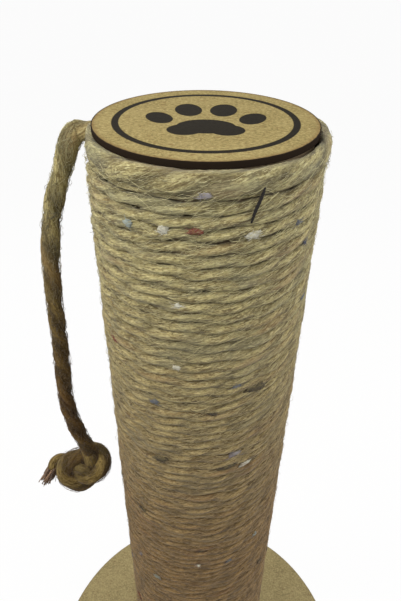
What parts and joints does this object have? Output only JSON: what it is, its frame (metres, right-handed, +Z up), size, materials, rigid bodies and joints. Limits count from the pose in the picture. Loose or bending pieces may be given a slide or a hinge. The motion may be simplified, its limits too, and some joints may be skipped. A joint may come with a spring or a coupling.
{
  "type": "cat scratching post",
  "caption": "Free-standing rope-wound cat scratching post on a round base, with a thin disc lid and a knotted rope tail that swings from under the lid.",
  "frame": {"origin": "centre of the underside of the rubber pads, on the post's axis", "axes": "+Z up along the post, -Y towards the front, +X to the right seen from the front; the tail hangs at -X"},
  "size_m": [0.3, 0.3, 0.6],
  "materials": {
    "lid_board": "bare laser-cut fibreboard with a burnt edge",
    "plug_wood": "sawn",
    "paper_tube": "spiral-wound paper",
    "plated_steel": "zinc plated",
    "base_board": "bare fibreboard",
    "winding_rope": "soft two-ply plant fibre",
    "tail_rope": "thick two-ply plant fibre",
    "pad_rubber": "matt"
  },
  "bodies": {
    "post": {"face_disc": "lid_board", "top_plug": "plug_wood", "core_tube": "paper_tube", "bottom_plug": "plug_wood", "top_plug_brads": "plated_steel", "bottom_plug_brads": "plated_steel", "base_board": "base_board", "base_washer": "plated_steel", "base_bolt": "plated_steel", "plug_washer": "plated_steel", "base_nut": "plated_steel", "rope_winding": "winding_rope", "top_wrap": "tail_rope", "wrap_staples": "plated_steel", "tail_root": "tail_rope", "base_pad_1": "pad_rubber", "base_pad_2": "pad_rubber", "base_pad_3": "pad_rubber", "base_pad_4": "pad_rubber"},
    "tail_link": {"tail_bend": "tail_rope"},
    "tail": {"tail_rope": "tail_rope"}
  },
  "joints": [
    {"name": "tail_sway", "type": "hinge", "parent": "post", "child": "tail_link", "pos_m": [-0.0627, 0.0085, 0.591], "axis": [1, 0, 0], "range_deg": [-60, 60]},
    {"name": "tail_lift", "type": "hinge", "parent": "tail_link", "child": "tail", "pos_m": [-0.0627, 0.0085, 0.591], "axis": [0, 1, 0], "range_deg": [0, 60]}
  ]
}
